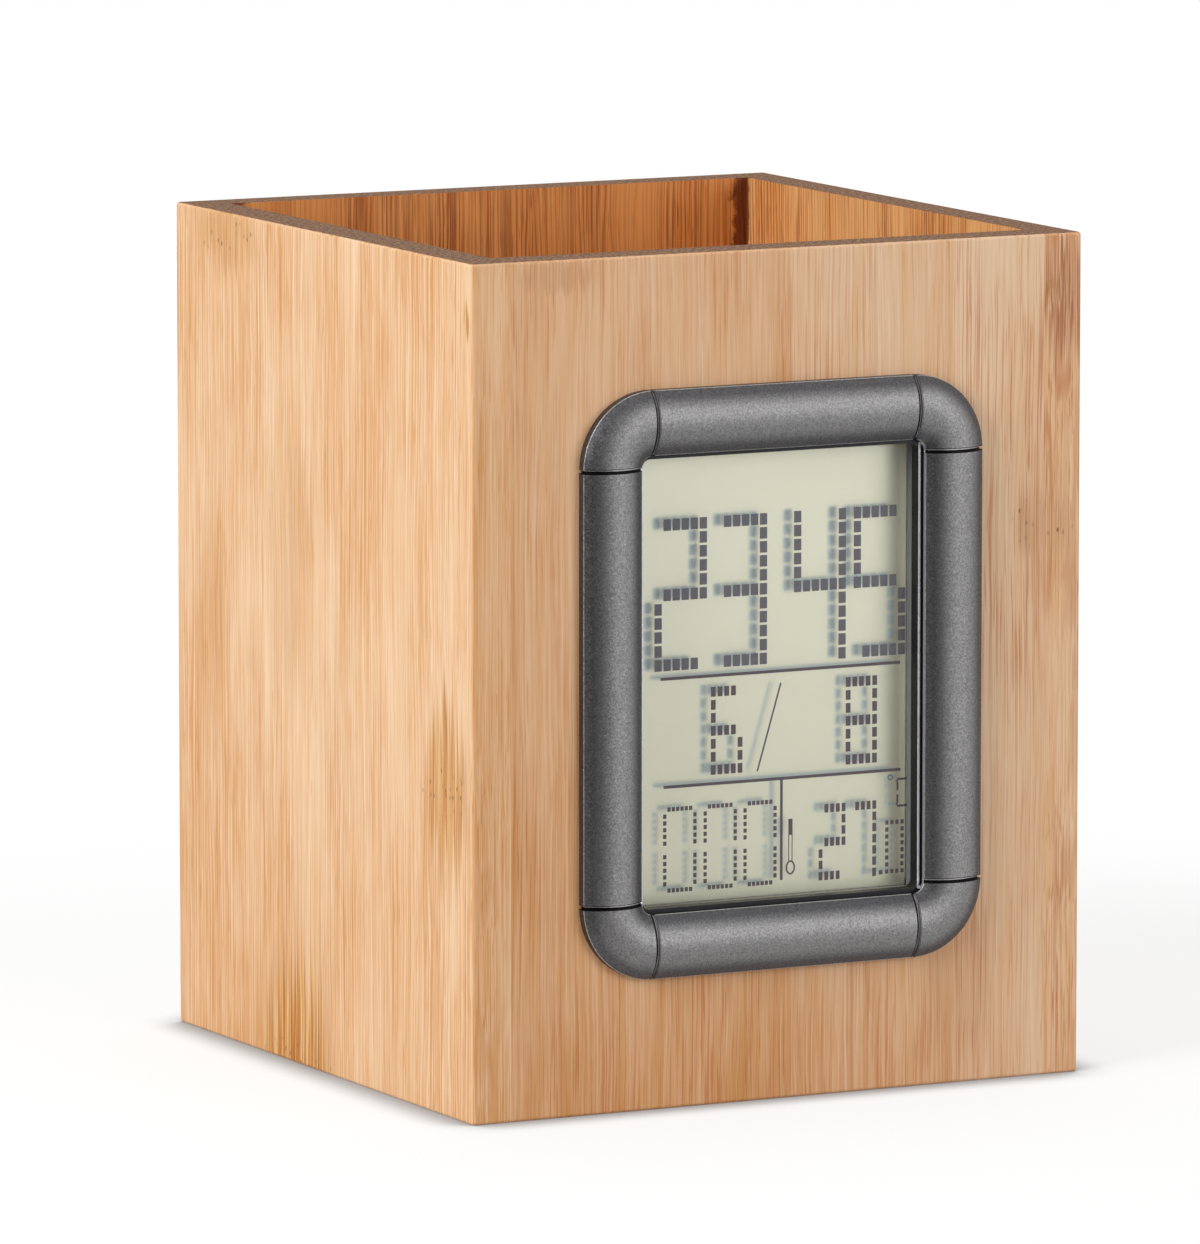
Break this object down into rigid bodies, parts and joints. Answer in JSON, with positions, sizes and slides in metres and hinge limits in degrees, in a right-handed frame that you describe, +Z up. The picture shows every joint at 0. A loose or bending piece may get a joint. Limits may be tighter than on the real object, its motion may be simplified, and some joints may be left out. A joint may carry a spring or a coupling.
{
  "type": "pen holder with clock",
  "caption": "Square bamboo desk pot for pens, with a digital clock and thermometer in a dark grey bezel let into its front.",
  "frame": {"origin": "centre of the pot's underside, on the surface that it stands on", "axes": "+Z up, the clock faces -Y, +X to the right seen from the clock's side"},
  "size_m": [0.08, 0.0827, 0.1],
  "materials": {
    "bamboo": "sanded, clear matt lacquer",
    "bezel_paint": "dark grey metallic paint on moulded plastic, satin",
    "polariser_film": "clear grey-green film",
    "lcd_glass": "clear float glass",
    "reflector_film": "grey-green reflecting film",
    "inner_plastic": "moulded, white",
    "connector_rubber": "striped silicone",
    "board_laminate": "green glass laminate with solder mask",
    "black_resin": "black epoxy",
    "bright_metal": "drawn steel",
    "capacitor_ceramic": "fired ceramic with tinned ends",
    "screw_steel": "zinc plated",
    "contact_metal": "nickel plated spring sheet",
    "case_plastic": "black, fine spark-eroded texture",
    "button_plastic": "grey, satin"
  },
  "bodies": {
    "pot": {"left_panel": "bamboo", "right_panel": "bamboo", "front_panel": "bamboo", "back_panel": "bamboo", "base_panel": "bamboo"},
    "clock": {"clock_bezel": "bezel_paint", "front_polariser": "polariser_film", "lcd_front_glass": "lcd_glass", "lcd_rear_glass": "lcd_glass", "rear_polariser": "reflector_film", "lcd_holder": "inner_plastic", "zebra_strips": "connector_rubber", "circuit_board": "board_laminate", "chip_blob": "black_resin", "quartz_crystal": "bright_metal", "chip_capacitors": "capacitor_ceramic", "alarm_buzzer": "black_resin", "temperature_sensor": "black_resin", "key_switches": "black_resin", "board_screws": "screw_steel", "coin_cell": "bright_metal", "positive_contact": "contact_metal", "negative_contact": "contact_metal", "rear_case": "case_plastic", "case_screws": "screw_steel"},
    "door": {"battery_door": "case_plastic"},
    "mode_key": {"mode_button": "button_plastic"},
    "set_key": {"set_button": "button_plastic"},
    "up_key": {"up_button": "button_plastic"},
    "down_key": {"down_button": "button_plastic"}
  },
  "joints": [
    {"name": "clock_pull", "type": "slide", "parent": "pot", "child": "clock", "axis": [0, -1, 0], "range_m": [0, 0.02]},
    {"name": "door_slide", "type": "slide", "parent": "clock", "child": "door", "axis": [0, 0, 1], "range_m": [0, 0.03]},
    {"name": "mode_press", "type": "slide", "parent": "clock", "child": "mode_key", "axis": [0, -1, 0], "range_m": [0, 0.0006], "stiffness_N_per_m": 1500, "springref_m": -0.0002},
    {"name": "set_press", "type": "slide", "parent": "clock", "child": "set_key", "axis": [0, -1, 0], "range_m": [0, 0.0006], "stiffness_N_per_m": 1500, "springref_m": -0.0002},
    {"name": "up_press", "type": "slide", "parent": "clock", "child": "up_key", "axis": [0, -1, 0], "range_m": [0, 0.0006], "stiffness_N_per_m": 1500, "springref_m": -0.0002},
    {"name": "down_press", "type": "slide", "parent": "clock", "child": "down_key", "axis": [0, -1, 0], "range_m": [0, 0.0006], "stiffness_N_per_m": 1500, "springref_m": -0.0002}
  ]
}
